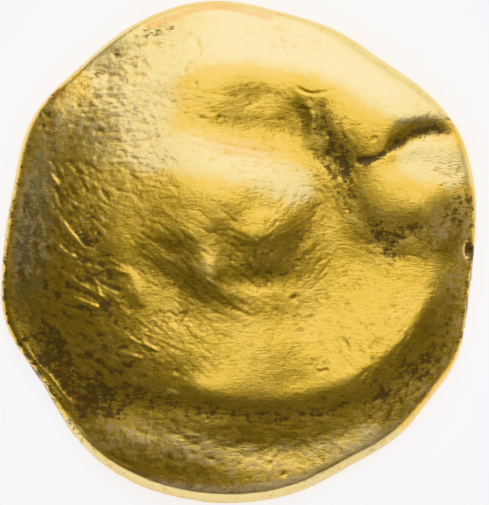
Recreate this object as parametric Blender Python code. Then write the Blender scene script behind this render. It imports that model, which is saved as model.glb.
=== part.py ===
"""A worn hammered gold stater, lying with its struck face up.

The coin is one piece of metal: a pellet squeezed between two dies. The struck face
is a dome that carries a heavy blob, a curved trough and a lobe at the right edge, and the
underside is a shallow dish that rests on its worn rim.

Metres, +Z up. The origin is under the middle of the coin, on the surface it lies on.
X runs to the right of the struck face and Y to its top, as seen from above.
"""

from collections import namedtuple

import bmesh
import bpy
import numpy as np

# Driving dimensions. The rim's thickness is that under the relief, which rises and falls
# on it by shares of its own height.
LONGEST_ACROSS = 0.0170
RIM_THICKNESS = 0.0016
RELIEF_HEIGHT = 0.0011
DISH_DEPTH = 0.00050
WEAR_LIFT = 0.00006

# The underside's dish reaches this share of the half length.
DISH_REACH = 0.80

# How the facets are shared out: cells along one side of the cube that becomes the flan.
CELLS = 28

# The rounded edge begins at this share of the way from the middle to the outline.
EDGE_START = 0.97

HALF = LONGEST_ACROSS / 2

# The outline: bearing in degrees, anticlockwise from the right, and reach as a share
# of the half length. Hammering has left flats between blunt corners.
OUTLINE = (
    (0, 0.938),
    (16, 0.978),
    (31, 1.002),
    (42, 0.980),
    (53, 0.954),
    (66, 0.967),
    (79, 0.970),
    (97, 1.009),
    (116, 0.998),
    (131, 0.972),
    (146, 0.982),
    (165, 0.932),
    (184, 0.946),
    (196, 0.975),
    (214, 0.940),
    (234, 1.000),
    (262, 1.006),
    (282, 0.990),
    (300, 0.962),
    (310, 0.974),
    (321, 0.964),
    (333, 0.972),
    (350, 0.935),
)

# One form of the relief. The middle and the reaches are shares of the half length, the
# turn is in degrees and the rise is a share of the relief height. A high power gives a
# flat top with steep sides.
Swell = namedtuple("Swell", "x y along across turn rise power")

# A curved fold: a ridge, or a trough where the rise is negative, along an arc.
Crescent = namedtuple("Crescent", "x y radius start end width rise")

STRUCK_SWELLS = {
    "field": Swell(0.02, 0.09, 0.89, 0.77, 0, 0.28, 10),
    "left flank": Swell(-0.30, -0.02, 0.51, 0.66, 38, 0.30, 6),
    "upper crown": Swell(-0.11, 0.62, 0.38, 0.36, 0, 0.42, 2),
    "top bump": Swell(-0.02, 0.90, 0.15, 0.10, 0, 0.09, 2),
    "top dip": Swell(0.16, 0.87, 0.18, 0.10, -10, -0.09, 2),
    "top left dip": Swell(-0.29, 0.76, 0.13, 0.13, 0, -0.05, 2),
    "crown dip": Swell(0.05, 0.64, 0.13, 0.10, 0, -0.08, 2),
    "upper left rim": Swell(-0.76, 0.47, 0.28, 0.14, 62, 0.08, 2),
    "left rim": Swell(-0.90, 0.05, 0.30, 0.08, 90, 0.06, 2),
    "left fall": Swell(-0.74, 0.24, 0.18, 0.10, 90, -0.05, 2),
    "lower left fall": Swell(-0.76, -0.42, 0.60, 0.34, -72, -0.30, 2),
    "lower left corner": Swell(-0.70, -0.76, 0.20, 0.12, -50, -0.12, 2),
    "lower left hill": Swell(-0.47, -0.68, 0.14, 0.12, 0, 0.09, 2),
    "lower hill": Swell(-0.21, -0.74, 0.26, 0.16, 0, 0.19, 2),
    "bottom fall": Swell(0.30, -0.88, 0.20, 0.12, 10, -0.11, 2),
    "lower right corner": Swell(0.74, -0.70, 0.26, 0.16, 45, -0.16, 2),
    "lip end": Swell(0.50, -0.60, 0.12, 0.10, 0, 0.06, 2),
    "right fall": Swell(0.86, -0.26, 0.32, 0.12, 80, -0.14, 2),
    "lower field": Swell(0.00, -0.50, 0.36, 0.13, 0, -0.08, 2),
    "right field": Swell(0.48, -0.20, 0.16, 0.22, 0, 0.04, 2),
    "blob": Swell(-0.28, 0.15, 0.36, 0.25, 0, 0.13, 3),
    "blob head": Swell(0.03, 0.13, 0.27, 0.19, -6, 0.13, 2.5),
    "blob brow": Swell(-0.12, -0.06, 0.06, 0.11, 5, 0.06, 2),
    "blob dent": Swell(-0.05, 0.06, 0.15, 0.12, 0, -0.10, 2),
    "left hollow": Swell(-0.24, -0.20, 0.10, 0.13, 0, -0.06, 2),
    "left dent": Swell(-0.35, -0.08, 0.12, 0.12, 0, -0.05, 2),
    "right hollow": Swell(0.19, -0.10, 0.15, 0.12, 20, -0.08, 2),
    "saddle": Swell(0.31, 0.34, 0.15, 0.13, 0, 0.09, 2),
    "upper hill": Swell(0.47, 0.58, 0.29, 0.19, -46, 0.30, 4),
    "right hill": Swell(0.76, 0.62, 0.28, 0.13, 18, 0.12, 3),
    "right ridge": Swell(0.70, 0.44, 0.18, 0.08, 20, 0.06, 2),
    "lobe": Swell(0.67, 0.20, 0.24, 0.15, -22, 0.26, 3),
    "lobe foot": Swell(0.58, 0.06, 0.16, 0.10, -60, 0.08, 2),
    "lobe groove": Swell(0.73, 0.45, 0.21, 0.04, 20, -0.05, 2),
}

STRUCK_CRESCENTS = {
    "lip": Crescent(0.10, 0.20, 0.79, -105, -25, 0.10, 0.08),
    "trough": Crescent(0.05, 0.25, 0.55, -95, -15, 0.15, -0.07),
    "upper fold": Crescent(-0.03, 0.05, 0.65, 65, 125, 0.12, 0.07),
    "upper trough": Crescent(-0.09, 0.07, 0.46, 60, 120, 0.12, -0.08),
    "lower rim": Crescent(0.00, 0.00, 0.93, -125, -60, 0.09, 0.03),
}

UNDERSIDE_CRESCENTS = {
    "first fold": Crescent(-0.60, -0.10, 0.55, -35, 40, 0.07, 0.10),
    "second fold": Crescent(-0.60, -0.10, 0.80, -32, 36, 0.07, 0.08),
}


def outline_reach(bearing):
    """The outline's share of the half length at each bearing, in radians, as a smooth closed curve."""
    marks = np.radians([mark[0] for mark in OUTLINE])
    shares = np.array([mark[1] for mark in OUTLINE])
    turn = 2 * np.pi
    marks = np.concatenate([marks - turn, marks, marks + turn])
    shares = np.tile(shares, 3)
    slopes = np.gradient(shares, marks)
    bearing = np.mod(bearing, turn)
    after = np.searchsorted(marks, bearing, side="right")
    before = after - 1
    span = marks[after] - marks[before]
    t = (bearing - marks[before]) / span
    ease_in = t * (t - 1) ** 2
    ease_out = t * t * (t - 1)
    blend = t * t * (3 - 2 * t)
    return (
        shares[before] * (1 - blend)
        + shares[after] * blend
        + span * (slopes[before] * ease_in + slopes[after] * ease_out)
    )


def swell_height(swell, x, y):
    """One swell's height at each place, as a share of the relief height."""
    turn = np.radians(swell.turn)
    along = ((x - swell.x) * np.cos(turn) + (y - swell.y) * np.sin(turn)) / swell.along
    across = ((y - swell.y) * np.cos(turn) - (x - swell.x) * np.sin(turn)) / swell.across
    return swell.rise * np.exp(-np.hypot(along, across) ** swell.power)


def crescent_height(crescent, x, y):
    """One curved fold's height at each place, as a share of the relief height."""
    away_x = x - crescent.x
    away_y = y - crescent.y
    middle = np.radians(crescent.start + crescent.end) / 2
    half_span = np.radians(crescent.end - crescent.start) / 2
    swing = np.arctan2(away_y, away_x) - middle
    swing = np.abs(np.arctan2(np.sin(swing), np.cos(swing)))
    past_end = np.maximum(swing - half_span, 0) * crescent.radius / crescent.width
    off_line = (np.hypot(away_x, away_y) - crescent.radius) / crescent.width
    return crescent.rise * np.exp(-(off_line**2) - past_end**2)


def struck_face(x, y):
    """The struck face's height above the resting surface, for places in metres."""
    x = x / HALF
    y = y / HALF
    relief = sum(swell_height(swell, x, y) for swell in STRUCK_SWELLS.values())
    relief += sum(crescent_height(fold, x, y) for fold in STRUCK_CRESCENTS.values())
    return RIM_THICKNESS + RELIEF_HEIGHT * relief


def underside(x, y):
    """The underside's height: a dish with two faint folds, inside a rim worn flat in places."""
    x = x / HALF
    y = y / HALF
    dish_share = np.hypot(x, y) / DISH_REACH
    bearing = np.arctan2(y, x)
    hollow = np.clip(1 - dish_share**2, 0, None) ** 1.5
    folds = sum(crescent_height(fold, x, y) for fold in UNDERSIDE_CRESCENTS.values())
    waves = WEAR_LIFT * (np.sin(3 * bearing + 0.7) + 0.6 * np.sin(7 * bearing + 2.0))
    waves *= np.minimum(dish_share, 1) ** 3
    return np.maximum(DISH_DEPTH * hollow - RELIEF_HEIGHT * folds * hollow + waves, 0)


def flan_places(cube):
    """Where each point of the cube's surface lies on the coin, in metres."""
    x, y, z = cube.T
    side = np.maximum(np.abs(x), np.abs(y))
    # The walk runs from 0 at the top's middle, over the edge, to 4 under the middle.
    walk = np.where(side < 1 - 1e-6, np.where(z > 0, side, 4 - side), 2 - z)
    ring = np.interp(walk, (0, 1, 2, 2.3, 3, 4), (0, 0.5, EDGE_START, EDGE_START, 0.5, 0))
    edge_turn = np.radians(np.interp(walk, (2, 2.3), (90, -90)))
    on_edge = (walk > 2) & (walk < 2.3)
    ring = np.where(on_edge, EDGE_START + (1 - EDGE_START) * np.cos(edge_turn), ring)

    # Square cells in the middle ease into round ones at the outline.
    across = np.maximum(side, 1e-9)
    right_or_left = np.abs(x) >= np.abs(y)
    steep = np.where(right_or_left, y / np.where(right_or_left, x, 1), x / np.where(right_or_left, 1, y))
    bearing = np.where(
        right_or_left,
        np.pi / 4 * steep + np.where(x < 0, np.pi, 0),
        np.pi / 2 - np.pi / 4 * steep + np.where(y < 0, np.pi, 0),
    )
    roundness = np.clip(ring / EDGE_START, 0, 1)
    unit_x = (1 - roundness) * 0.85 * x / across + roundness * np.cos(bearing)
    unit_y = (1 - roundness) * 0.85 * y / across + roundness * np.sin(bearing)
    reach = HALF * ring * outline_reach(np.arctan2(unit_y, unit_x))
    place_x = unit_x * reach
    place_y = unit_y * reach

    top = struck_face(place_x, place_y)
    bottom = underside(place_x, place_y)
    middle = (top + bottom) / 2
    height = np.where(walk <= 2, top, bottom)
    height = np.where(on_edge, middle + (top - bottom) / 2 * np.sin(edge_turn), height)
    return np.column_stack([place_x, place_y, height])


def press_flan(name, cells):
    """The coin as one closed mesh: a subdivided cube pressed into the flan."""
    bm = bmesh.new()
    bmesh.ops.create_cube(bm, size=2)
    bmesh.ops.subdivide_edges(bm, edges=bm.edges, cuts=cells - 1, use_grid_fill=True)
    mesh = bpy.data.meshes.new(name)
    bm.to_mesh(mesh)
    bm.free()
    cube = np.empty(len(mesh.vertices) * 3, np.float32)
    mesh.vertices.foreach_get("co", cube)
    places = flan_places(cube.reshape(-1, 3).astype(float))
    places[:, :2] -= (places[:, :2].min(axis=0) + places[:, :2].max(axis=0)) / 2
    mesh.vertices.foreach_set("co", places.astype(np.float32).ravel())
    mesh.shade_smooth()
    return mesh


def worn_gold():
    """The metal of the whole coin."""
    material = bpy.data.materials.new("worn gold")
    material.use_nodes = True
    shader = material.node_tree.nodes["Principled BSDF"]
    shader.inputs["Base Color"].default_value = (0.83, 0.58, 0.16, 1)
    shader.inputs["Metallic"].default_value = 1.0
    shader.inputs["Roughness"].default_value = 0.35
    return material


def clear_scene():
    for thing in list(bpy.data.objects):
        bpy.data.objects.remove(thing)


def main():
    clear_scene()
    coin = bpy.data.objects.new("coin", press_flan("coin", CELLS))
    coin.data.materials.append(worn_gold())
    bpy.context.scene.collection.objects.link(coin)


main()
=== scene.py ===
"""A worn hammered gold stater lying with its struck face up, on a plain pale floor.

The relief that the solid carries is kept. This script adds what is finer: the corrected
hollows and ridges, cracks, pits, tool marks, scratches, the lapped rim and the metal's
own finish, whose colour also holds painted highlight and painted shade. Places on the
struck face are given as the camera sees them, in pixels of the
489 by 505 picture: across from its left side and down from its top. Rises and depths are
in microns.
"""
import math
from collections import namedtuple

import bpy
import numpy as np
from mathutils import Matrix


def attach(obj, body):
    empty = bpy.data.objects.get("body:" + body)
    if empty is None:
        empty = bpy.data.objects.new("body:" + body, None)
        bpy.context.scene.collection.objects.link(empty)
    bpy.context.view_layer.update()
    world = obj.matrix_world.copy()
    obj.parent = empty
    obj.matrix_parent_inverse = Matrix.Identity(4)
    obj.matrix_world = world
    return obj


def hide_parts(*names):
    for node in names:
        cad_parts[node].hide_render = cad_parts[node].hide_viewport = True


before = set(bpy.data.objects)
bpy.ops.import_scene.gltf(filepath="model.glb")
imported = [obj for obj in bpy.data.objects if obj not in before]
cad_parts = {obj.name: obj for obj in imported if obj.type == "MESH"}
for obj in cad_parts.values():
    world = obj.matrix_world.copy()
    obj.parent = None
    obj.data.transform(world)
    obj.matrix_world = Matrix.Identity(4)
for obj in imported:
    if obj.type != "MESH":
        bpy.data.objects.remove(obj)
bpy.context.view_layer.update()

MICRON = 1e-6

# The picture, and how the coin lies in it.
PICTURE_WIDTH = 489
PICTURE_HEIGHT = 505
PIXEL = 0.0170 / 502
MIDDLE_ACROSS = 238.5
MIDDLE_DOWN = 252.0
LENS = 250
SENSOR = 36

CAMERA_AWAY = PICTURE_HEIGHT * PIXEL * LENS / SENSOR

# Half way up the coin's edge, where the outline is and the struck face's relief fades out.
EDGE_MIDDLE = 0.0008
STRUCK_FADE = 0.0004

# The smoothing draws the edge in by this much, and it is set out again.
EDGE_SET_OUT = 0.00004

# Below this height the metal's unevenness fades, so that nothing reaches under the table.
CLEAR_OF_TABLE = 0.00015

# The unevenness of the metal: the size of its lumps in metres and their depth in microns.
HAMMERED_GRAIN = (0.00016, 11)
PEEL = (0.00034, 20)
FLAN_WAVES = (0.0009, 60)
FLAN_GRAIN = (0.0004, 40)

# The share of each that the smoothest parts of the struck face have.
LEAST_HAMMERED = 0.22
LEAST_PEEL = 0.45

# A point this many microns under its surroundings counts as fully hollow. Within this many
# pixels of the outline none does, and further in the effect grows over the next stretch.
FULL_HOLLOW = 8
PLAIN_RIM = 6
PLAIN_RIM_FADE = 8

# How far in from the outline the edge is matte, in pixels.
MATTE_WIDTH = 8

# The colours of the metal and of what lies on it.
DEEP_GOLD = (0.81, 0.535, 0.092, 1)
LIGHT_GOLD = (0.85, 0.57, 0.115, 1)
# Pale gold, used for painted highlight and for paler metal.
PALE_HIGHLIGHT_GOLD = (0.805, 0.64, 0.265, 1)
RED_GOLD = (0.74, 0.40, 0.09, 1)
# Thin brown of dirt, also painted shade in the hollows.
THIN_DIRT_AND_SHADE = (0.46, 0.28, 0.06, 1)
TAN_FILM = (0.56, 0.41, 0.18, 1)
# Dark brown of dirt, also used as painted shade.
BROWN_STAIN_AND_SHADE = (0.118, 0.086, 0.044, 1)

# What the metal mirrors from high up, away from the lights.
DARK_ROOM = (0.068, 0.071, 0.155)

# A rounded form: an ellipse turned anticlockwise from the right. A high power gives a flat
# top with steep sides.
Patch = namedtuple("Patch", "across down long wide turn lift power")

# A form that follows a line through given points.
Stroke = namedtuple("Stroke", "points width lift power")

# Forms finer than the solid carries.
RELIEF = {
    "diagonal head": Patch(303, 78, 26, 16, 0, -40, 2),
    "diagonal notch": Patch(316, 102, 22, 18, -30, -60, 2),
    "diagonal crest": Patch(352, 96, 18, 22, 0, 30, 2),
    "left shoulder": Patch(100, 130, 32, 26, 70, 40, 2),
    "blob crest": Patch(225, 145, 36, 26, 0, -45, 2),
    "blob side": Patch(318, 142, 18, 14, 0, 35, 2),
    "crown step": Patch(222, 106, 34, 20, 0, 40, 2),
    "crown flat": Patch(262, 96, 24, 12, 0, -25, 2),
    "head brow": Patch(262, 236, 24, 12, 10, 25, 2),
    "head dip": Patch(262, 200, 24, 14, 0, -17, 2),
    "right cheek": Patch(300, 204, 20, 20, 0, 32, 2),
    "right dip": Patch(258, 278, 44, 16, 10, -28, 2),
    "left cheek": Patch(196, 234, 26, 18, 0, 55, 2),
    "crescent bank": Patch(122, 255, 28, 16, -75, 30, 2),
    "crescent rise": Patch(130, 292, 18, 18, 0, 55, 2),
    "hollow step": Patch(200, 282, 20, 18, 0, 45, 2),
    "left foot": Patch(147, 335, 32, 28, 0, -50, 2),
    "field basin": Patch(280, 318, 50, 30, 0, -70, 2),
    "field rise": Patch(245, 378, 30, 22, 0, 25, 2),
    "field rim": Patch(230, 406, 90, 14, 0, -40, 2),
    "field dent": Patch(305, 390, 26, 16, 0, -30, 2),
    "skirt left": Patch(82, 384, 34, 22, -45, 55, 2),
    "skirt right": Patch(412, 398, 34, 22, 45, 55, 2),
    "lobe shoulder": Patch(430, 156, 26, 18, 0, 40, 2),
    "groove bank": Patch(398, 164, 20, 12, 20, -35, 2),
    "lobe end": Patch(450, 205, 14, 24, 0, -40, 2),
    "lobe skirt": Patch(412, 228, 26, 14, 0, -40, 2),
    "lobe corner": Patch(355, 225, 22, 22, 0, 30, 2),
    "left waist": Patch(34, 240, 18, 40, 0, -25, 2),
    "left knee": Patch(58, 284, 22, 26, 0, -40, 2),
    "top left": Patch(92, 62, 24, 18, 40, -20, 2),
    "lower band rise": Stroke(
        [(98, 428), (140, 443), (190, 455), (250, 471), (300, 471), (340, 460), (376, 438)],
        18, 42, 2,
    ),
    "crown brow": Patch(245, 84, 64, 13, 0, 13, 2),
    "crown foot": Patch(235, 128, 60, 12, 0, -13, 2),
    "upper left fall": Patch(108, 72, 32, 16, 30, -36, 2),
    "upper left rise": Patch(116, 124, 36, 22, 0, 32, 2),
    "lobe flat": Patch(414, 188, 42, 25, 0, 26, 3.5),
}

# Steps, lumps and folds with firmer edges.
FEATURES = {
    "head tip": Patch(262, 228, 22, 15, 0, 20, 4),
    "head tip left": Stroke([(222, 222), (236, 232), (250, 238)], 8, 10, 3),
    "right hollow floor": Patch(258, 281, 34, 13, -2, -40, 2.2),
    "right hollow step": Patch(236, 256, 14, 11, 0, -16, 2),
    "right hollow horn": Patch(296, 246, 11, 22, -20, -26, 2.5),
    "left hollow floor": Patch(180, 284, 24, 12, -35, -26, 2.5),
    "left hollow head": Patch(168, 246, 16, 12, 0, -16, 2.5),
    "dip above the bridge": Patch(208, 234, 16, 10, 0, -16, 2),
    "bridge between the hollows": Stroke([(210, 268), (216, 282), (228, 292)], 11, 34, 2),
    "bank under the bridge": Patch(240, 294, 18, 8, -12, 7, 2),
    "crescent lump": Stroke([(117, 271), (128, 273), (137, 284), (141, 302)], 4.5, 15, 2.5),
    "crescent hollow": Stroke([(112, 284), (122, 292), (131, 306)], 6, -16, 2),
    "light fold": Stroke([(308, 106), (312, 116), (311, 130)], 2.6, 12, 2),
    "dark beside the fold": Stroke([(300, 112), (303, 124), (302, 136)], 5, -10, 2),
    "far side of the fold": Stroke([(320, 108), (324, 122), (330, 134)], 5, -12, 2),
    "groove": Stroke([(360, 161), (376, 158), (388, 151), (398, 143)], 3.5, -22, 2),
    "groove, wide end": Stroke([(398, 145), (410, 138), (426, 134), (452, 133)], 8, -50, 2),
    "groove bank": Patch(412, 116, 26, 8, 6, 18, 2),
    "blob edge": Stroke([(296, 110), (318, 128), (334, 148), (346, 168)], 9, -16, 2),
    "diagonal furrow": Stroke([(350, 192), (364, 216), (380, 240), (396, 256)], 9, -14, 2),
    "lobe notch": Patch(463, 234, 15, 28, 0, -56, 2),
    "blob wrinkle": Stroke([(180, 131), (200, 138), (226, 144), (256, 151), (288, 152)], 2, -5, 2),
    "blob wrinkle lip": Stroke([(184, 137), (206, 144), (236, 150), (262, 156)], 2.4, 4, 2),
    "field edge": Stroke(
        [(196, 388), (240, 401), (292, 396), (350, 376), (400, 342), (428, 300)],
        9, 18, 2,
    ),
    "lower trough": Stroke(
        [(130, 398), (210, 412), (270, 418), (330, 410), (380, 394)],
        10, -20, 2,
    ),
    "void at the right edge": Patch(469, 251, 4, 8, 6, -240, 3),
    "flake at the lower left": Patch(84, 428, 5, 3, 20, 30, 3),
}

# Where metal lapped over at the rim: a thin ridge with a crease outside it.
RIM_LAPS = {
    "lower left lap": Stroke([(26, 348), (35, 362), (50, 377), (60, 390), (71, 402)], 2.4, 18, 2),
    "lower left crease": Stroke(
        [(24, 358), (34, 371), (46, 383), (56, 394), (66, 407)],
        2.4, -24, 2,
    ),
    "bottom crease": Stroke([(66, 414), (80, 432), (104, 451), (132, 466)], 3, -18, 2),
    "top crease": Stroke(
        [(140, 30), (162, 19), (182, 13), (205, 9), (222, 7), (244, 12), (268, 18)],
        2, -12, 2,
    ),
    "left crease": Stroke([(9, 246), (7, 270), (8, 300)], 2.5, -16, 2),
    "right crease": Stroke([(466, 268), (464, 300), (458, 340), (449, 368), (436, 388)], 3, -26, 2),
}

CRACKS = {
    "hair crack": Stroke(
        [(299, 88), (303, 91), (309, 93), (317, 93), (326, 92), (334, 89)],
        1.4, -16, 2,
    ),
    "short crack": Stroke([(300, 108), (307, 109), (313, 110)], 1.4, -12, 2),
    "upper crack": Stroke(
        [(198, 38), (199, 46), (202, 53), (196, 60), (188, 65), (184, 72)],
        1.4, -12, 2,
    ),
    "crack below the hollow": Stroke(
        [(160, 312), (165, 314), (169, 312), (176, 316), (185, 312)],
        1.3, -9, 2,
    ),
    "branch below the hollow": Stroke(
        [(176, 323), (180, 321), (184, 315), (187, 312)],
        1.4, -12, 2,
    ),
    "curved crack": Stroke([(344, 341), (347, 344), (348, 351)], 1.4, -16, 2),
    "crack in the field": Stroke([(320, 372), (326, 370)], 1.8, -14, 2),
    "left rim crack": Stroke([(52, 161), (56, 168), (60, 178)], 1.6, -14, 2),
    "left rim crack, lower": Stroke([(55, 188), (59, 197), (62, 205)], 2, -22, 2),
    "notch by the groove": Stroke([(371, 140), (376, 138)], 1.8, -6, 2),
    "edge of the crown": Stroke([(186, 88), (214, 94), (236, 96)], 1.6, -5, 2),
}

PITS = {
    "left pit": Patch(44, 113, 4, 3, 20, -34, 2),
    "upper pit": Patch(202, 118, 3, 2, -20, -14, 2),
    "crown pit": Patch(220, 117, 2, 2, 0, -16, 2),
    "small crown pit": Patch(196, 84, 2, 2, 0, -12, 2),
    "pit at the fold": Patch(374, 138, 3, 2, 0, -7, 2),
    "oval mark": Patch(355, 125, 6, 3, 10, -4, 2),
    "pit under the hollow": Patch(294, 298, 3, 3, 0, -18, 2),
    "lower pit": Patch(283, 475, 3, 2, 0, -18, 2),
    "lower right pit": Patch(306, 475, 2, 2, 0, -16, 2),
    "bottom pit": Patch(212, 459, 2, 2, 0, -16, 2),
    "trough pit": Patch(176, 371, 2, 2, 0, -18, 2),
    "top rim pit": Patch(145, 31, 3, 2, 30, -16, 2),
    "pits of the upper left": Patch(118, 56, 3, 2, 40, -12, 2),
    "upper left dint": Patch(133, 68, 6, 4, 0, -9, 2),
    "small dint": Patch(108, 76, 4, 2, 30, -10, 2),
    "dint by the crack": Patch(172, 46, 3, 2, 0, -8, 2),
}

# Single scratches that catch the light.
SCRATCHES = {
    "left rim scratch": Stroke([(52, 176), (57, 184)], 1.8, 26, 2),
    "steep left scratch": Stroke([(60, 220), (62, 228), (68, 238)], 1.6, 18, 2),
    "long left scratch": Stroke([(64, 223), (71, 233), (80, 243)], 1.8, 34, 2),
    "left scratch": Stroke([(59, 246), (66, 252), (73, 257)], 1.8, 28, 2),
    "thin left scratch": Stroke([(70, 276), (78, 284), (84, 290)], 1.5, 16, 2),
    "broad left scratch": Stroke([(72, 298), (84, 302), (97, 307)], 2, 36, 2),
    "crossing scratch": Stroke([(80, 284), (92, 291), (104, 297)], 1.6, 20, 2),
    "hooked scratch": Stroke([(94, 278), (99, 290), (100, 300)], 1.6, 16, 2),
    "low left scratch": Stroke([(120, 352), (130, 355), (141, 358)], 1.6, 18, 2),
    "second low scratch": Stroke([(130, 338), (142, 344), (156, 350)], 1.5, 12, 2),
    "level scratch": Stroke([(106, 163), (124, 161), (144, 162)], 1.6, 6, 2),
    "nick": Stroke([(168, 391), (177, 394)], 1.8, 14, 2),
    "second nick": Stroke([(170, 378), (176, 376)], 1.6, 9, 2),
}

# Many fine marks of one kind in one place: how many, the middle and half size of the place,
# the way they run, how far that varies, their length, width and depth.
Flurry = namedtuple("Flurry", "count across down long wide heading spread length width lift")

FLURRIES = {
    "hammered upper left": Flurry(190, 100, 110, 62, 66, 0, 35, 9, 1.6, -4.5),
    "level strokes on the left": Flurry(60, 104, 112, 30, 24, 5, 8, 20, 1.3, -4.5),
    "upper rim specks": Flurry(60, 150, 50, 70, 30, 20, 70, 4, 1.6, -4.5),
    "rubbed strokes on the left": Flurry(70, 70, 220, 40, 60, -50, 20, 12, 1.3, 7),
    "rubbed strokes at the corner": Flurry(60, 110, 350, 50, 40, -25, 16, 14, 1.3, 6),
    "rubbed strokes across the hollows": Flurry(50, 200, 262, 70, 40, -35, 16, 16, 1.2, 3),
    "left strokes": Flurry(80, 78, 210, 34, 50, -45, 18, 16, 1.4, -6),
    "dark side strokes": Flurry(90, 84, 290, 44, 44, -25, 14, 18, 1.3, 8),
    "left rim strokes": Flurry(70, 40, 270, 30, 80, -70, 30, 12, 1.4, -5),
    "strokes across the hollows": Flurry(110, 200, 255, 70, 44, -38, 14, 20, 1.3, -3),
    "strokes right of the hollows": Flurry(50, 300, 240, 36, 50, 50, 18, 18, 1.3, -3),
    "strokes at the foot": Flurry(80, 180, 345, 46, 34, -30, 16, 18, 1.3, -3),
    "strokes under the blob": Flurry(60, 235, 300, 60, 26, -25, 14, 22, 1.3, -3),
    "blob strokes": Flurry(60, 210, 175, 80, 34, -12, 16, 20, 1.2, -1.5),
    "blob side strokes": Flurry(60, 145, 190, 36, 40, -20, 20, 16, 1.3, -3),
    "crown strokes": Flurry(60, 240, 100, 80, 24, 8, 20, 12, 1.3, -2.5),
    "field specks": Flurry(110, 340, 320, 90, 55, 0, 90, 4, 1.4, -2),
    "trough strokes": Flurry(80, 230, 425, 110, 26, -8, 16, 20, 1.3, -3),
    "right skirt strokes": Flurry(60, 400, 370, 40, 60, 50, 16, 18, 1.4, -3),
    "bottom specks": Flurry(90, 240, 460, 100, 20, 5, 50, 6, 1.4, -3),
    "trough to the lobe strokes": Flurry(50, 400, 245, 50, 22, -20, 20, 16, 1.3, -3),
    "lobe specks": Flurry(30, 430, 150, 34, 40, 30, 60, 5, 1.4, -2),
    "diagonal strokes": Flurry(50, 335, 160, 26, 50, -60, 16, 16, 1.3, -3),
}

# How the shoulder of the rim is filled: the bearing from the top towards the right, the rise
# at the edge in microns and how far in it reaches in pixels.
SHOULDER = [
    (0, 70, 6),
    (30, 45, 6),
    (60, 45, 6),
    (100, 90, 6),
    (125, 60, 6),
    (145, 0, 6),
    (228, 0, 6),
    (240, 90, 6),
    (262, 115, 6),
    (310, 120, 6),
]

# The sharper corner that is left round the top: the bearing and the rise in microns, and how
# far in it reaches in pixels.
CORNER = [
    (0, 160),
    (30, 200),
    (50, 200),
    (75, 130),
    (100, 60),
    (120, 0),
    (240, 0),
    (290, 0),
    (330, 80),
]
CORNER_REACH = 2.6

# The bevel worn along the bottom: the bearing, the fall at the edge in microns and its width
# in pixels.
BEVEL = [
    (118, 0, 7),
    (140, 120, 9),
    (160, 280, 11),
    (185, 330, 11),
    (205, 300, 10),
    (220, 120, 8),
    (230, 0, 6),
]

# How many bearings the outline is measured at.
BEARINGS = 180

# Where the edge is worn matte: the bearing and the share.
MATTE_EDGE = [(0, 1), (90, 0.7), (110, 0), (125, 0), (145, 1), (210, 1), (230, 0), (330, 0)]

# Where the surface is roughest, as shares of full depth.
HAMMERED = {
    "upper left": Patch(95, 115, 66, 70, 0, 0.75, 3),
    "left": Patch(60, 230, 40, 60, 0, 0.3, 2),
    "right field": Patch(380, 320, 60, 50, 0, 0.25, 2),
    "right skirt": Patch(420, 380, 36, 60, -40, 0.3, 2),
    "bottom": Patch(240, 452, 120, 30, 0, 0.6, 3),
    "top rim": Patch(160, 45, 70, 26, 20, 0.3, 2),
}

# Where the metal is darkened brown, as shares of full cover: dirt and patina, and painted shade on
# the slopes, hollows, trough and groove that turn from the light.
DIRT_AND_PAINTED_SHADE = {
    "left side": Patch(84, 286, 38, 78, 0, 1.2, 3),
    "left rim": Patch(30, 300, 30, 80, 0, 0.15, 3),
    "upper left rim": Stroke([(78, 88), (108, 58), (146, 34), (180, 22)], 9, 0.4, 2),
    "left edge": Stroke(
        [(56, 92), (30, 150), (13, 210), (6, 260), (7, 310), (28, 352), (52, 388)],
        6, 0.7, 2,
    ),
    "right edge": Stroke([(462, 180), (470, 220), (470, 280), (462, 340)], 5, 0.5, 2),
    "left shoulder": Patch(66, 165, 30, 46, 0, 0.35, 2),
    "dark corner": Patch(96, 345, 56, 50, 0, 0.55, 2),
    "lower left rim": Patch(70, 400, 60, 40, -48, 0.5, 3),
    "trough": Stroke(
        [(110, 370), (160, 398), (220, 412), (290, 414), (350, 396), (410, 356)],
        20, 0.55, 2.5,
    ),
    "bottom": Stroke([(110, 452), (150, 470), (200, 480), (240, 480)], 9, 0.4, 2),
    "right skirt": Stroke(
        [(456, 280), (450, 320), (436, 356), (410, 390), (380, 412)],
        18, 0.5, 2.5,
    ),
    "groove": Stroke([(362, 159), (380, 154), (396, 140), (424, 126), (448, 124)], 9, 0.7, 2.5),
    "lobe foot": Stroke([(386, 231), (420, 229), (446, 222), (460, 206)], 14, 0.65, 6),
    "diagonal": Patch(333, 140, 22, 38, 24, 0.9, 3),
    "diagonal to the groove": Patch(356, 162, 14, 10, -20, 0.5, 2),
    "diagonal below the lobe": Stroke([(348, 190), (362, 214), (377, 237), (392, 252)], 14, 0.5, 2),
    "right notch": Patch(460, 212, 13, 26, 0, 0.6, 2.5),
    "left hollow": Patch(182, 278, 34, 22, -40, 0.4, 2),
    "right hollow": Patch(268, 261, 44, 22, 4, 0.6, 3),
    "right hollow horn": Patch(302, 232, 12, 16, -20, 0.4, 2),
    "left pit": Patch(44, 113, 5, 4, 20, 0.5, 2),
    "left end of the lower band": Patch(112, 412, 22, 12, -25, 0.5, 2.5),
}

# The darkening in the void at the right edge, which is added to the rest.
VOID_DARKENING = Patch(469, 251, 6, 10, 6, 1.2, 4)

# The shares of dirt and film on the lower half of the edge and on the underside.
UNSTRUCK_DIRT = 0.6
UNSTRUCK_FILM = 0.7

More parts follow.
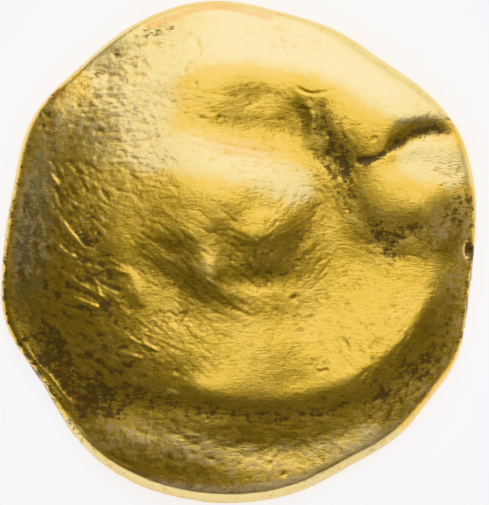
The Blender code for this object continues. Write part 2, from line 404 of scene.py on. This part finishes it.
# Where a thin tan film lies on the metal in flecks.
FILM = {
    "left side": Patch(56, 180, 74, 120, 0, 0.8, 4),
    "lower left": Patch(110, 385, 70, 50, -30, 0.7, 4),
    "lower band": Stroke([(116, 432), (200, 450), (280, 462), (370, 436)], 24, 1.5, 3),
    "upper left": Patch(95, 95, 60, 60, 0, 0.9, 3),
    "left of the crown": Patch(150, 112, 34, 66, 0, 0.8, 3),
    "left rim": Patch(26, 262, 22, 84, 0, 0.7, 3),
    "along the bevel": Stroke(
        [(150, 482), (200, 488), (250, 489), (300, 484), (340, 470), (412, 420)],
        5, 1.5, 2,
    ),
    "right skirt": Stroke([(380, 420), (424, 386), (452, 340), (462, 280), (462, 220)], 26, 1.2, 4),
    "trough": Stroke([(160, 396), (220, 414), (290, 416), (350, 398)], 18, 0.6, 2),
    "left hollow": Patch(184, 272, 40, 38, 0, 0.7, 3),
    "right hollow": Patch(268, 262, 48, 26, 4, 0.7, 3),
    "below the lobe": Stroke([(350, 196), (368, 222), (400, 236), (440, 232)], 22, 0.8, 3),
    "diagonal": Patch(330, 138, 26, 42, 24, 0.3, 3),
}

# Where the gold is painted pale: painted highlight on the top rim, the blob's top, the lobe and the
# bottom rim, where these catch the light, and a paler, greyer tone of the metal elsewhere.
PALE_AND_PAINTED_HIGHLIGHT = {
    "top": Stroke([(120, 62), (190, 36), (260, 32), (340, 50), (396, 84), (430, 104)], 34, 1.0, 5),
    "left of the crown": Patch(148, 96, 34, 40, 0, 0.7, 3),
    "upper left": Patch(95, 120, 70, 70, 0, 0.55, 3),
    "left rim": Patch(30, 210, 34, 90, 0, 0.65, 3),
    "blob top": Stroke([(150, 150), (200, 156), (250, 168), (296, 186)], 22, 0.85, 3),
    "lobe": Stroke([(418, 160), (440, 164), (456, 172)], 22, 1.0, 3),
    "lower band": Stroke([(120, 424), (200, 446), (270, 455), (360, 440)], 22, 0.45, 3),
    "bottom rim": Stroke(
        [(66, 424), (100, 462), (150, 484), (240, 496), (330, 480), (400, 440)],
        12, 0.9, 3,
    ),
    "right skirt": Stroke([(380, 420), (424, 386), (452, 340), (466, 280)], 20, 0.4, 3),
    "dark side": Patch(60, 320, 70, 90, 0, 0.5, 2),
}

# Where the gold has a redder tone.
WARM = {
    "lower left rim": Stroke([(62, 372), (74, 392), (90, 414)], 9, 0.9, 2),
    "upper left rim": Patch(58, 94, 14, 10, 40, 0.8, 2),
    "top rim line": Stroke([(150, 26), (190, 12), (222, 7), (250, 13), (270, 18)], 4, 0.8, 2),
    "below the lower band": Stroke([(110, 456), (150, 474), (190, 482), (230, 484)], 6, 0.5, 2),
    "right rim": Stroke([(470, 262), (462, 320), (448, 366), (424, 400)], 6, 0.5, 2),
    "wrinkles of the blob": Patch(240, 148, 56, 12, -8, 0.5, 2),
}


def only(thing):
    """Selects one object alone and makes it the active one."""
    bpy.ops.object.select_all(action="DESELECT")
    thing.select_set(True)
    bpy.context.view_layer.objects.active = thing


def corners_of(mesh):
    """The mesh's points as rows of x, y and z."""
    places = np.empty(len(mesh.vertices) * 3, np.float32)
    mesh.vertices.foreach_get("co", places)
    return places.reshape(-1, 3).astype(float)


def select_faces(mesh, chosen):
    """Selects the chosen faces alone, for the next operator in edit mode."""
    mesh.vertices.foreach_set("select", np.zeros(len(mesh.vertices), bool))
    mesh.edges.foreach_set("select", np.zeros(len(mesh.edges), bool))
    mesh.polygons.foreach_set("select", chosen)
    mesh.update()


def face_values(mesh, name, width):
    values = np.empty(len(mesh.polygons) * width, np.float32)
    mesh.polygons.foreach_get(name, values)
    return values.reshape(-1, width)


def apply_modifier(thing, kind, **settings):
    """Adds a modifier, sets it and applies it at once."""
    only(thing)
    modifier = thing.modifiers.new(kind.lower(), kind)
    for name, value in settings.items():
        setattr(modifier, name, value)
    bpy.ops.object.modifier_apply(modifier=modifier.name)


def flan_from(node, name):
    """A fine, smooth copy of the solid, densest on the struck face."""
    flan = bpy.data.objects.new(name, node.data.copy())
    bpy.context.scene.collection.objects.link(flan)
    only(flan)
    bpy.ops.mesh.customdata_custom_splitnormals_clear()
    bpy.ops.object.mode_set(mode="EDIT")
    bpy.ops.mesh.select_all(action="SELECT")
    bpy.ops.mesh.remove_doubles(threshold=1e-6)
    widest = math.radians(60)
    bpy.ops.mesh.tris_convert_to_quads(face_threshold=widest, shape_threshold=widest)
    bpy.ops.object.mode_set(mode="OBJECT")
    apply_modifier(flan, "SUBSURF", levels=1, render_levels=1)

    mesh = flan.data
    places = corners_of(mesh)
    normals = np.empty(len(mesh.vertices) * 3, np.float32)
    mesh.vertices.foreach_get("normal", normals)
    upright = (1 - np.abs(normals[2::3])) * np.clip(places[:, 2] / CLEAR_OF_TABLE, 0, 1)
    apply_modifier(
        flan,
        "DISPLACE",
        vertex_group=weigh_points(flan, "edge", upright),
        direction="NORMAL",
        mid_level=0,
        strength=EDGE_SET_OUT,
    )
    flan.vertex_groups.clear()

    mesh = flan.data
    height = face_values(mesh, "center", 3)[:, 2]
    facing = face_values(mesh, "normal", 3)[:, 2]
    top = (height > EDGE_MIDDLE) & (facing > 0.35)
    select_faces(mesh, top)
    bpy.ops.object.mode_set(mode="EDIT")
    bpy.ops.mesh.subdivide(number_cuts=2)
    bpy.ops.mesh.vertices_smooth(factor=0.5, repeat=8)
    bpy.ops.object.mode_set(mode="OBJECT")
    mesh.shade_smooth()
    return flan


def picture_places(places):
    """Where points on the coin show in the picture: pixels across and down."""
    nearer = CAMERA_AWAY / (CAMERA_AWAY + EDGE_MIDDLE - places[:, 2])
    across = MIDDLE_ACROSS + nearer * places[:, 0] / PIXEL
    down = MIDDLE_DOWN - nearer * places[:, 1] / PIXEL
    return across, down


def rounded(points, steps=6):
    """A smooth line through given points."""
    points = np.array(points, float)
    if len(points) == 2:
        return points
    padded = np.vstack([2 * points[0] - points[1], points, 2 * points[-1] - points[-2]])
    line = []
    for before, start, end, after in zip(padded, padded[1:], padded[2:], padded[3:]):
        for t in np.arange(steps) / steps:
            line.append(
                0.5
                * (
                    2 * start
                    + (end - before) * t
                    + (2 * before - 5 * start + 4 * end - after) * t**2
                    + (3 * start - before - 3 * end + after) * t**3
                )
            )
    line.append(points[-1])
    return np.array(line)


def weight_of(mark, across, down):
    """How strongly a mark acts at each place, from 0 to 1."""
    if isinstance(mark, Patch):
        turn = math.radians(mark.turn)
        right = across - mark.across
        up = mark.down - down
        along = (right * math.cos(turn) + up * math.sin(turn)) / mark.long
        aside = (up * math.cos(turn) - right * math.sin(turn)) / mark.wide
        return np.exp(-np.hypot(along, aside) ** mark.power)
    line = rounded(mark.points)
    off = np.full(len(across), 1e9)
    for (x0, y0), (x1, y1) in zip(line, line[1:]):
        length = max((x1 - x0) ** 2 + (y1 - y0) ** 2, 1e-9)
        share = np.clip(((across - x0) * (x1 - x0) + (down - y0) * (y1 - y0)) / length, 0, 1)
        right = across - x0 - share * (x1 - x0)
        below = down - y0 - share * (y1 - y0)
        off = np.minimum(off, np.hypot(right, below))
    return np.exp(-(off / mark.width) ** mark.power)


def reach_of(mark):
    """The least and greatest place across and down where a mark still acts."""
    if isinstance(mark, Patch):
        xs, ys = [mark.across], [mark.down]
        reach = 2.7 * max(mark.long, mark.wide)
    else:
        xs, ys = zip(*mark.points)
        reach = 2.7 * mark.width
    return min(xs) - reach, max(xs) + reach, min(ys) - reach, max(ys) + reach


def field(marks, across, down):
    """The sum of a set of marks at each place."""
    total = np.zeros(len(across))
    for mark in marks:
        left, right, top, bottom = reach_of(mark)
        near = np.flatnonzero((across > left) & (across < right) & (down > top) & (down < bottom))
        total[near] += mark.lift * weight_of(mark, across[near], down[near])
    return total


def scattered(flurry, chance):
    """The marks of a flurry, placed by chance inside its ellipse."""
    for _ in range(flurry.count):
        out = math.sqrt(chance.uniform())
        round_ = chance.uniform(0, 2 * math.pi)
        across = flurry.across + flurry.long * out * math.cos(round_)
        down = flurry.down + flurry.wide * out * math.sin(round_)
        heading = math.radians(flurry.heading + flurry.spread * chance.uniform(-1, 1))
        half = 0.5 * flurry.length * chance.uniform(0.4, 1.3)
        step = half * math.cos(heading), -half * math.sin(heading)
        ends = [(across - step[0], down - step[1]), (across + step[0], down + step[1])]
        lift = flurry.lift * chance.uniform(0.3, 1.3)
        yield Stroke(ends, flurry.width * chance.uniform(0.8, 1.2), lift, 2)


def weigh_points(coin, name, weights):
    """Gives the coin's points their weights in a new vertex group."""
    group = coin.vertex_groups.new(name=name)
    for index in np.flatnonzero(weights > 1e-3):
        group.add([int(index)], float(weights[index]), "REPLACE")
    return group.name


def push(coin, name, rise):
    """Moves the coin's points by their own rise in microns, some up and some down."""
    for sign, side in ((1, "raised"), (-1, "sunk")):
        share = np.clip(sign * rise, 0, None)
        peak = share.max()
        if peak < 0.01:
            continue
        apply_modifier(
            coin,
            "DISPLACE",
            vertex_group=weigh_points(coin, f"{name} {side}", share / peak),
            direction="Z",
            mid_level=0,
            strength=sign * peak * MICRON,
        )
        coin.vertex_groups.clear()


def on_struck_face(places):
    """1 on the struck face, fading to 0 half way down the edge."""
    return np.clip((places[:, 2] - EDGE_MIDDLE) / STRUCK_FADE, 0, 1)


def gap_to_outline(places):
    """How far each point lies inside the coin's outline, in pixels, and its bearing in degrees."""
    bearing = np.degrees(np.arctan2(places[:, 0], places[:, 1])) % 360
    radius = np.hypot(places[:, 0], places[:, 1]) / PIXEL
    outline = np.zeros(BEARINGS)
    np.maximum.at(outline, (bearing * BEARINGS / 360).astype(int) % BEARINGS, radius)
    steps = (np.arange(BEARINGS) + 0.5) * 360 / BEARINGS
    return np.interp(bearing, steps, outline, period=360) - radius, bearing


def round_the_rim(table, bearing):
    """The values of a table at each bearing."""
    around, *columns = zip(*table)
    return [np.interp(bearing, around, column, period=360) for column in columns]


def square_shoulder(coin):
    """Fills the shoulder between the struck face and the edge, and bevels it at the bottom."""
    places = corners_of(coin.data)
    gap, bearing = gap_to_outline(places)
    rise, width = round_the_rim(SHOULDER, bearing)
    push(coin, "shoulder", rise * np.exp(-(gap / width) ** 2) * on_struck_face(places))

    middle = face_values(coin.data, "center", 3)
    gap, bearing = gap_to_outline(middle)
    select_faces(coin.data, (gap < 10) & (middle[:, 2] > EDGE_MIDDLE))
    bpy.ops.object.mode_set(mode="EDIT")
    bpy.ops.mesh.vertices_smooth(factor=0.5, repeat=6)
    bpy.ops.object.mode_set(mode="OBJECT")

    places = corners_of(coin.data)
    gap, bearing = gap_to_outline(places)
    corner = round_the_rim(CORNER, bearing)[0] * np.exp(-gap / CORNER_REACH)
    fall, width = round_the_rim(BEVEL, bearing)
    bevel = fall * np.clip(1 - gap / width, 0, 1)
    push(coin, "corner and bevel", (corner - bevel) * on_struck_face(places))


def strike(coin, name, marks):
    """Raises or sinks the struck face by a set of marks."""
    places = corners_of(coin.data)
    across, down = picture_places(places)
    push(coin, name, field(marks, across, down) * on_struck_face(places))


def roughen(coin, name, size, depth, weights):
    """Gives the metal an uneven surface with lumps of one size, as deep as the weights say."""
    clouds = bpy.data.textures.new(name, "CLOUDS")
    clouds.noise_scale = size
    clouds.noise_depth = 2
    apply_modifier(
        coin,
        "DISPLACE",
        vertex_group=weigh_points(coin, name, weights),
        texture=clouds,
        texture_coords="LOCAL",
        direction="NORMAL",
        mid_level=0.5,
        strength=depth * MICRON,
    )
    coin.vertex_groups.clear()


class Wire:
    """A shader socket that can stand in a sum. Each sum adds its Math node."""

    def __init__(self, bench, socket):
        self.bench = bench
        self.socket = socket

    def sum(self, operation, first, second):
        return self.bench.add("ShaderNodeMath", {"operation": operation}, {0: first, 1: second})

    def __add__(self, other):
        return self.sum("ADD", self, other)

    def __radd__(self, other):
        return self.sum("ADD", other, self)

    def __sub__(self, other):
        return self.sum("SUBTRACT", self, other)

    def __rsub__(self, other):
        return self.sum("SUBTRACT", other, self)

    def __mul__(self, other):
        return self.sum("MULTIPLY", self, other)

    def __rmul__(self, other):
        return self.sum("MULTIPLY", other, self)


class Bench:
    """The nodes of one material or world."""

    def __init__(self, tree):
        self.tree = tree

    def add(self, kind, settings=None, sockets=None, output=0):
        """Adds a node: its settings first, then the values or links of its sockets."""
        node = self.tree.nodes.new(kind)
        for name, value in (settings or {}).items():
            if name == "stops":
                self.set_stops(node.color_ramp, value)
            else:
                setattr(node, name, value)
        for name, value in (sockets or {}).items():
            self.plug(node.inputs[name], value)
        return Wire(self, node.outputs[output])

    def plug(self, socket, value):
        if isinstance(value, Wire):
            self.tree.links.new(value.socket, socket)
        else:
            socket.default_value = value

    def set_stops(self, ramp, stops):
        for number, (place, colour) in enumerate(stops):
            stop = ramp.elements[number] if number < 2 else ramp.elements.new(place)
            stop.position = place
            stop.color = (*colour, 1)

    def mix(self, share, first, second):
        """A blend of two colours."""
        return self.add("ShaderNodeMix", {"data_type": "RGBA"}, {0: share, 6: first, 7: second}, 2)

    def painted(self, name):
        """A value that is stored at each point of the mesh."""
        return self.add("ShaderNodeAttribute", {"attribute_name": name}, output="Fac")

    def ease(self, value, low, high):
        """A soft step from 0 at low to 1 at high."""
        return self.add(
            "ShaderNodeMapRange",
            {"interpolation_type": "SMOOTHSTEP"},
            {"Value": value, "From Min": low, "From Max": high},
        )

    def stretched(self, coords, turn, scale):
        return self.add(
            "ShaderNodeMapping",
            None,
            {"Vector": coords, "Rotation": (0, 0, math.radians(turn)), "Scale": scale},
        )

    def noise(self, coords, scale, detail=3, roughness=0.55):
        return self.add(
            "ShaderNodeTexNoise",
            None,
            {"Vector": coords, "Scale": scale, "Detail": detail, "Roughness": roughness},
        )


def worn_gold_with_painted_light():
    """Struck gold, finely scratched: painted highlight and paler tone on the heights that catch the
    light, brown dirt, patina and painted shade in the hollows and on the shaded slopes.
    """
    material = bpy.data.materials.new("worn gold")
    material.use_nodes = True
    bench = Bench(material.node_tree)
    shader = material.node_tree.nodes["Principled BSDF"]
    place = bench.add("ShaderNodeTexCoord", output="Object")

    # The brown cover holds dirt and painted shade; the pale places hold painted highlight and paler
    # metal.
    dirt_and_shade = bench.painted("dirt_and_shade")
    pale = bench.painted("pale")
    hollow = bench.painted("hollow")
    warm = bench.painted("warm")
    scored = bench.painted("scored")
    edge = bench.painted("edge")
    film = bench.painted("film")
    rubbed = bench.painted("rubbed")

    cloud = bench.noise(place, 700, 4)
    blotch = bench.noise(place, 2400, 4, 0.6)
    mottle = bench.noise(place, 5000, 3, 0.6)
    speck = bench.noise(place, 9000, 3, 0.65)
    grain = bench.noise(place, 16000, 3, 0.6)
    falling = bench.noise(bench.stretched(place, 35, (3000, 17000, 5000)), 1, 4, 0.7)
    rising = bench.noise(bench.stretched(place, -40, (3200, 18000, 5000)), 1, 4, 0.7)

    strokes = 1.4 * (falling - 0.5) + 0.8 * (rising - 0.5)
    grit = strokes + 1.3 * (speck - 0.5) + 1.6 * (mottle - 0.5) + 1.4 * (blotch - 0.5)
    # Brown where dirt and painted shade are listed and in the hollows, broken up by grit and cleared
    # on rubbed scratches.
    lodged_dirt_and_shade = 0.74 * dirt_and_shade + (0.15 + 0.5 * dirt_and_shade) * hollow + (0.4 + 1.2 * dirt_and_shade) * grit
    stain_and_shade = bench.ease(lodged_dirt_and_shade, 0.12, 0.95) * (1.0 - 0.85 * rubbed)
    # A thin brown of dirt in scratches and grit, and painted shade in the hollows.
    thin_dirt_and_shade_share = bench.ease(0.35 * hollow + 0.4 * scored + 1.2 * grit, 0.05, 0.75)
    flecks = film * bench.ease(0.15 - grit - 0.4 * hollow, 0.1, 0.75) * (1.0 - stain_and_shade)
    tint = bench.ease(warm + 0.5 * (cloud - 0.5), 0.15, 0.8)

    gold = bench.mix(bench.ease(cloud, 0.35, 0.65), DEEP_GOLD, LIGHT_GOLD)
    # Pale gold from the pale places: painted highlight where the heights catch the light, paler metal
    # elsewhere, less under the brown cover.
    pale_and_highlight_share = bench.ease(pale - 0.7 * dirt_and_shade + 1.1 * (blotch - 0.5), 0.1, 0.9)
    gold = bench.mix(pale_and_highlight_share, gold, PALE_HIGHLIGHT_GOLD)
    gold = bench.mix(tint * 0.7, gold, RED_GOLD)
    gold = bench.mix(thin_dirt_and_shade_share * 0.6, gold, THIN_DIRT_AND_SHADE)
    gold = bench.mix(flecks * 0.7, gold, TAN_FILM)
    gold = bench.mix(stain_and_shade * 0.92, gold, BROWN_STAIN_AND_SHADE)
    bench.plug(shader.inputs["Base Color"], gold)
    bench.plug(shader.inputs["Metallic"], 1.0 - 0.3 * stain_and_shade - 0.4 * flecks - 0.45 * edge)
    rough = 0.31 + 0.12 * (falling - 0.5) + 0.12 * (speck - 0.5) + 0.06 * (blotch - 0.5)
    bench.plug(shader.inputs["Roughness"], rough + 0.2 * stain_and_shade + 0.3 * edge)

    tooth = 0.45 * falling + 0.35 * rising + 0.7 * speck + 0.4 * grain
    bump = bench.add(
        "ShaderNodeBump",
        None,
        {"Strength": 0.5, "Distance": 0.00002, "Height": tooth},
    )
    bench.plug(shader.inputs["Normal"], bump)
    return material


def paint(coin, name, values):
    """Stores one value at each point, for the material to read."""
    layer = coin.data.attributes.new(name, "FLOAT", "POINT")
    layer.data.foreach_set("value", values.astype(np.float32))


def softened(mesh, values, rounds):
    """The values averaged with their neighbours over and over."""
    ends = np.empty(len(mesh.edges) * 2, np.int32)
    mesh.edges.foreach_get("vertices", ends)
    first, second = ends.reshape(-1, 2).T
    count = np.bincount(first, minlength=len(values)) + np.bincount(second, minlength=len(values))
    for _ in range(rounds):
        total = np.bincount(first, values[second], len(values))
        total += np.bincount(second, values[first], len(values))
        values = 0.5 * values + 0.5 * total / np.maximum(count, 1)
    return values


def make_coin():
    coin = flan_from(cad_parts["coin"], "struck_coin")
    square_shoulder(coin)
    strike(coin, "relief", RELIEF.values())
    strike(coin, "features", FEATURES.values())
    strike(coin, "rim laps", RIM_LAPS.values())

    places = corners_of(coin.data)
    across, down = picture_places(places)
    struck = on_struck_face(places)
    hammered = field(HAMMERED.values(), across, down)
    roughen(coin, "hammered", *HAMMERED_GRAIN, np.clip(LEAST_HAMMERED + hammered, 0, 1) * struck)
    roughen(coin, "peel", *PEEL, np.clip(LEAST_PEEL + hammered, 0, 1) * struck)
    unstruck = (1 - struck) * np.clip(places[:, 2] / CLEAR_OF_TABLE, 0, 1)
    roughen(coin, "flan", *FLAN_WAVES, unstruck)
    roughen(coin, "flan grain", *FLAN_GRAIN, unstruck)

    chance = np.random.default_rng(12)
    marks = [*CRACKS.values(), *PITS.values(), *SCRATCHES.values()]
    for flurry in FLURRIES.values():
        marks.extend(scattered(flurry, chance))
    strike(coin, "marks", marks)
    sunk = [mark._replace(lift=1) for mark in marks if mark.lift < 0]
    raised = [mark._replace(lift=1) for mark in marks if mark.lift > 0]
    paint(coin, "scored", np.clip(field(sunk, across, down), 0, 1) * struck)
    paint(coin, "rubbed", np.clip(field(raised, across, down), 0, 1) * struck)

    places = corners_of(coin.data)
    # How far each point lies below its softened surroundings. The material darkens the hollows with
    # it: painted shade, with dirt lodged there.
    hollow = (softened(coin.data, places[:, 2], 40) - places[:, 2]) / (FULL_HOLLOW * MICRON)
    gap, bearing = gap_to_outline(places)
    inside = np.clip((gap - PLAIN_RIM) / PLAIN_RIM_FADE, 0, 1)
    paint(coin, "hollow", np.clip(hollow, -1, 1) * struck * inside)
    matte = round_the_rim(MATTE_EDGE, bearing)[0]
    paint(coin, "edge", matte * np.exp(-(gap / MATTE_WIDTH) ** 2))
    above = np.clip(places[:, 2] / STRUCK_FADE, 0, 1)
    below = np.clip(1.2 - places[:, 2] / EDGE_MIDDLE, 0, 1)
    # Brown cover: dirt and patina, and painted shade where the struck face turns from the light; the
    # lower edge and underside get a share of dirt.
    dirt_and_shade = field(DIRT_AND_PAINTED_SHADE.values(), across, down) * above + UNSTRUCK_DIRT * below
    paint(coin, "dirt_and_shade", np.clip(dirt_and_shade, 0, 1) + field([VOID_DARKENING], across, down))
    # The pale places: painted highlight and paler metal.
    paint(coin, "pale", np.clip(field(PALE_AND_PAINTED_HIGHLIGHT.values(), across, down), 0, 1))
    film = np.clip(field(FILM.values(), across, down), 0, 1.5) * struck + UNSTRUCK_FILM * (1 - struck)
    paint(coin, "film", film)
    paint(coin, "warm", np.clip(field(WARM.values(), across, down), 0, 1))
    coin.data.materials.clear()
    coin.data.materials.append(worn_gold_with_painted_light())
    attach(coin, "root")
    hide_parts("coin")


def make_floor():
    bpy.ops.object.select_all(action="DESELECT")
    bpy.ops.mesh.primitive_plane_add(size=0.6, location=(0, 0, 0))
    floor = bpy.context.object
    floor.name = "floor"
    material = bpy.data.materials.new("pale floor")
    material.use_nodes = True
    shader = material.node_tree.nodes["Principled BSDF"]
    shader.inputs["Base Color"].default_value = (0.95, 0.95, 0.95, 1)
    shader.inputs["Emission Color"].default_value = (1, 1, 1, 1)
    shader.inputs["Emission Strength"].default_value = 0.92
    floor.data.materials.append(material)


def softbox(name, azimuth, elevation, away, size, power):
    """A rectangular light that faces the coin. The azimuth runs from +Y towards +X."""
    light = bpy.data.lights.new(name, "AREA")
    light.shape = "RECTANGLE"
    light.size, light.size_y = size
    light.energy = power
    lamp = bpy.data.objects.new(name, light)
    turn = math.radians(azimuth)
    rise = math.radians(elevation)
    lamp.location = (
        away * math.cos(rise) * math.sin(turn),
        away * math.cos(rise) * math.cos(turn),
        away * math.sin(rise),
    )
    lamp.rotation_euler = (-lamp.location).to_track_quat("-Z", "Y").to_euler()
    bpy.context.scene.collection.objects.link(lamp)


def light_stage():
    softbox("key softbox", 15, 48, 0.30, (0.34, 0.16), 0.84)
    softbox("ceiling softbox", 20, 80, 0.40, (0.18, 0.18), 0.26)
    world = bpy.data.worlds.new("studio")
    world.use_nodes = True
    bench = Bench(world.node_tree)
    way = bench.add("ShaderNodeTexCoord", output="Generated")
    height = bench.add("ShaderNodeSeparateXYZ", None, {"Vector": way}, "Z")
    sky = bench.add(
        "ShaderNodeValToRGB",
        {"stops": [(0, (0.9,) * 3), (0.32, (0.45,) * 3), (0.58, DARK_ROOM), (1, DARK_ROOM)]},
        {"Fac": height},
    )
    bench.plug(world.node_tree.nodes["Background"].inputs["Color"], sky)
    bpy.context.scene.world = world
    bpy.context.scene.view_settings.view_transform = "Khronos PBR Neutral"


def make_camera():
    """Straight above the coin, far enough for its outline to fill the picture as it should."""
    data = bpy.data.cameras.new("camera")
    data.lens = LENS
    data.sensor_width = SENSOR
    data.clip_start = 0.001
    camera = bpy.data.objects.new("camera", data)
    bpy.context.scene.collection.objects.link(camera)
    camera.location = (
        (PICTURE_WIDTH / 2 - MIDDLE_ACROSS) * PIXEL,
        (MIDDLE_DOWN - PICTURE_HEIGHT / 2) * PIXEL,
        CAMERA_AWAY + EDGE_MIDDLE,
    )
    bpy.context.scene.camera = camera


make_camera()
make_coin()
make_floor()
light_stage()
